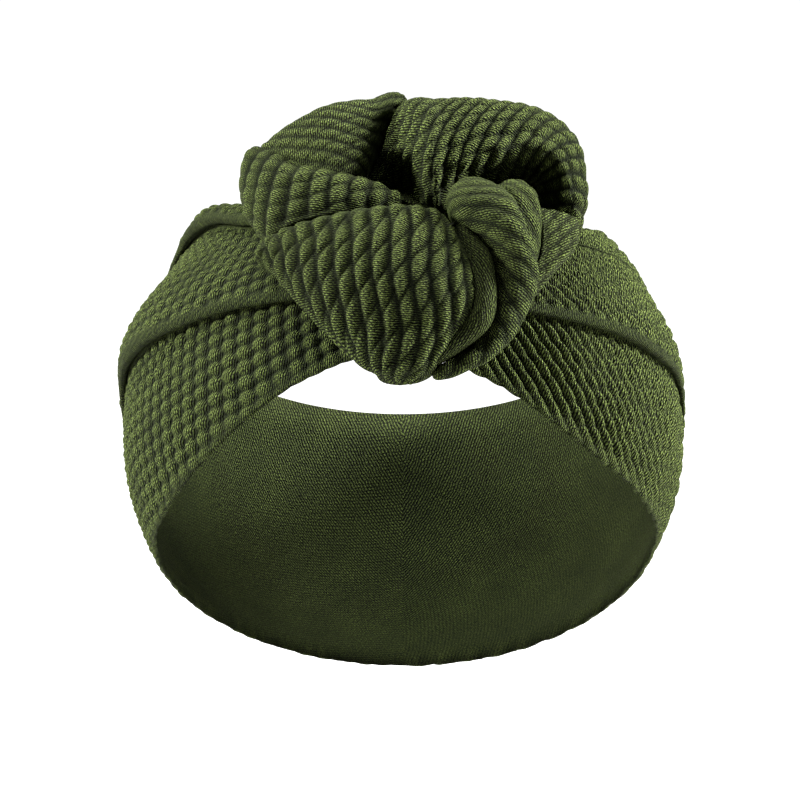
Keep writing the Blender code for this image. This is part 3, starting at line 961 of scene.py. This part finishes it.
def skin_lookup(skin, right, up):
    """The nearest places of a petal's smooth skin, and what lies there in its knit."""
    shape = bmesh.new()
    bmesh.ops.create_grid(shape, x_segments=PETAL_RINGS, y_segments=PETAL_SIDES, size=1)
    corners = []
    for corner in shape.verts:
        i = round((corner.co.x + 1) / 2 * PETAL_RINGS)
        j = round((corner.co.y + 1) / 2 * PETAL_SIDES)
        corner.co = skin[i, j]
        corners.append((i, j))
    shape.verts.index_update()
    shape.faces.ensure_lookup_table()
    faces = [[corner.index for corner in face.verts] for face in shape.faces]
    places = [corner.co.copy() for corner in shape.verts]
    tree = BVHTree.FromBMesh(shape)
    shape.free()
    known = np.array([(right[i, j], up[i, j]) for i, j in corners])

    def nearest(point):
        location, normal, face, distance = tree.find_nearest(Vector(point))
        weights = poly_3d_calc([places[k] for k in faces[face]], location)
        place = np.array(weights) @ known[faces[face]]
        return location[:], distance, place

    return nearest


def keep_clear(mesh, others, gap):
    """Moves the points that come too near to finished pieces back to a small gap."""
    points = points_of(mesh)
    for k, point in enumerate(points):
        location, normal, face, distance = others.find_nearest(Vector(point), CLEAR_REACH)
        if location is None:
            continue
        off = Vector(point) - location
        out = off.dot(normal)
        if out < gap and abs(out) < CLEAR_DEPTH:
            points[k] = np.array(Vector(point) + normal * (gap - out))
    put(mesh, points)


def make_petal(name, material, finished):
    """A fold of the flower: its solid's shape in even faces, dented, and with the knit's bumps on its skin."""
    knit = PETAL_KNITS[name]
    piece = remeshed(name)
    mesh = piece.data
    skin = petal_skin(PETALS[name])
    nearest = skin_lookup(skin, *petal_places(skin))
    points = smoothed(mesh, FIRST_ROUNDS)
    on_skin, distance, places = (np.array(column) for column in zip(*map(nearest, points)))
    is_skin = eased((SKIN_REACH - distance) / (SKIN_REACH * 0.6))
    put(mesh, points + (on_skin - points) * is_skin[:, None] * SKIN_PULL)
    put(mesh, dented(name, smoothed(mesh, DENT_ROUNDS), normals_of(mesh)))
    points = smoothed(mesh, LAST_ROUNDS)
    put(mesh, points)
    normals = normals_of(mesh)
    others = lookup(finished)
    room = clear_room(points, others, ROOM_REACH)
    relief = knit_relief(knit, places[:, 0], places[:, 1])
    facing = eased((normals @ flower_axes()[-1] + 0.1) / 0.7)
    strength = is_skin * (0.2 + 0.8 * eased((room - ROOM_TOUCH) / ROOM_FADE)) * (0.35 + 0.65 * facing)
    move = knit.depth * MILLIMETRE * strength * (relief - (1 - CREST_SHARE))
    put(mesh, points + normals * move[:, None])
    keep_clear(mesh, others, PIECE_GAP)
    # Painted shade: this relief attribute darkens the knit's colour in the valleys between bumps, less where the
    # bumps are weak.
    set_attribute(mesh, "relief", 0.45 + (relief - 0.45) * strength * min(1, knit.depth))
    set_stitches(mesh, stitch_places(knit, places[:, 0], places[:, 1]))
    mesh.shade_smooth()
    mesh.materials.clear()
    mesh.materials.append(material)
    return piece


# ---------------------------------------------------------------------------------------------- camera and light

CAMERA_LIFT = math.radians(8)
CAMERA_DISTANCE = 0.70
PHOTO_SIDE = 800
FOCAL_PIXELS = 2981
SENSOR = 36
PHOTO_CENTRE = (403, 428)
CAMERA_RIGHT = np.array((1.0, 0, 0))
CAMERA_UP = np.array((0, math.sin(CAMERA_LIFT), math.cos(CAMERA_LIFT)))


def add_camera():
    camera = bpy.data.objects.new("camera", bpy.data.cameras.new("camera"))
    bpy.context.scene.collection.objects.link(camera)
    camera.data.lens = FOCAL_PIXELS / PHOTO_SIDE * SENSOR
    camera.data.sensor_width = SENSOR
    toward = Vector((0, -math.cos(CAMERA_LIFT), math.sin(CAMERA_LIFT)))
    upward = Vector(CAMERA_UP)
    metres_per_pixel = CAMERA_DISTANCE / FOCAL_PIXELS
    across = (PHOTO_CENTRE[0] - PHOTO_SIDE / 2) * metres_per_pixel
    down = (PHOTO_SIDE / 2 - PHOTO_CENTRE[1]) * metres_per_pixel
    camera.location = toward * CAMERA_DISTANCE - Vector((across, 0, 0)) - upward * down
    camera.rotation_euler = (-toward).to_track_quat("-Z", "Y").to_euler()
    bpy.context.scene.camera = camera


def add_light(name, place, energy, size):
    data = bpy.data.lights.new(name, "AREA")
    data.energy = energy
    data.size = size
    light = bpy.data.objects.new(name, data)
    bpy.context.scene.collection.objects.link(light)
    light.location = place
    light.rotation_euler = (-Vector(place)).to_track_quat("-Z", "Y").to_euler()


# The floor in metres, and how bright the room is in front, behind and to the eye
FLOOR_DROP = 0.16
FLOOR_SIDE = 12.0
FLOOR_GLOW = 0.85
DIM_FRONT = 0.05
BACKDROP = 1.05


def add_studio():
    shape = bmesh.new()
    bmesh.ops.create_grid(shape, x_segments=1, y_segments=1, size=FLOOR_SIDE / 2)
    bmesh.ops.translate(shape, vec=(0, 0, -FLOOR_DROP), verts=shape.verts)
    mesh = bpy.data.meshes.new("floor")
    shape.to_mesh(mesh)
    shape.free()
    pale = plain_material("pale_floor", (0.45, 0.45, 0.45, 1.0), 0.9)
    glow = pale.node_tree.nodes["Principled BSDF"]
    seen = Wire(glow.outputs[0]).node("ShaderNodeLightPath")
    pale.node_tree.links.new(seen.socket, glow.inputs["Emission Color"])
    glow.inputs["Emission Strength"].default_value = FLOOR_GLOW
    mesh.materials.append(pale)
    floor = bpy.data.objects.new("floor", mesh)
    bpy.context.scene.collection.objects.link(floor)
    world = bpy.data.worlds.new("studio")
    bpy.context.scene.world = world
    world.use_nodes = True
    backdrop = world.node_tree.nodes["Background"]
    toward = Wire(backdrop.outputs[0]).node("ShaderNodeTexCoord")
    behind = toward.node("ShaderNodeSeparateXYZ", None, {0: toward}).next_output()
    shed = DIM_FRONT + (BACKDROP - DIM_FRONT) * (behind * 1.3 + 0.15).clamped()
    seen = toward.node("ShaderNodeLightPath")
    white = seen * BACKDROP + (1.0 - seen) * shed
    world.node_tree.links.new(white.socket, backdrop.inputs["Strength"])
    backdrop.inputs["Color"].default_value = (1.0, 1.0, 1.0, 1.0)
    add_light("left_side", (-0.9, -0.15, 0.35), 31, 0.3)
    add_light("right_side", (0.9, 0.0, 0.35), 44, 0.3)
    add_light("overhead", (-0.2, 0.0, 0.85), 16, 0.4)
    bpy.context.scene.view_settings.view_transform = "Standard"


# ---------------------------------------------------------------------------------------------- all together

knit = knit_material()
band = make_band(knit, lookup([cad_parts[name] for name in PETALS]))
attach(band, "root")
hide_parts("band")

finished = [band]
for name in PETALS:
    petal = make_petal(name, knit, finished)
    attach(petal, "root")
    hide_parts(name)
    finished.append(petal)

add_camera()
add_studio()
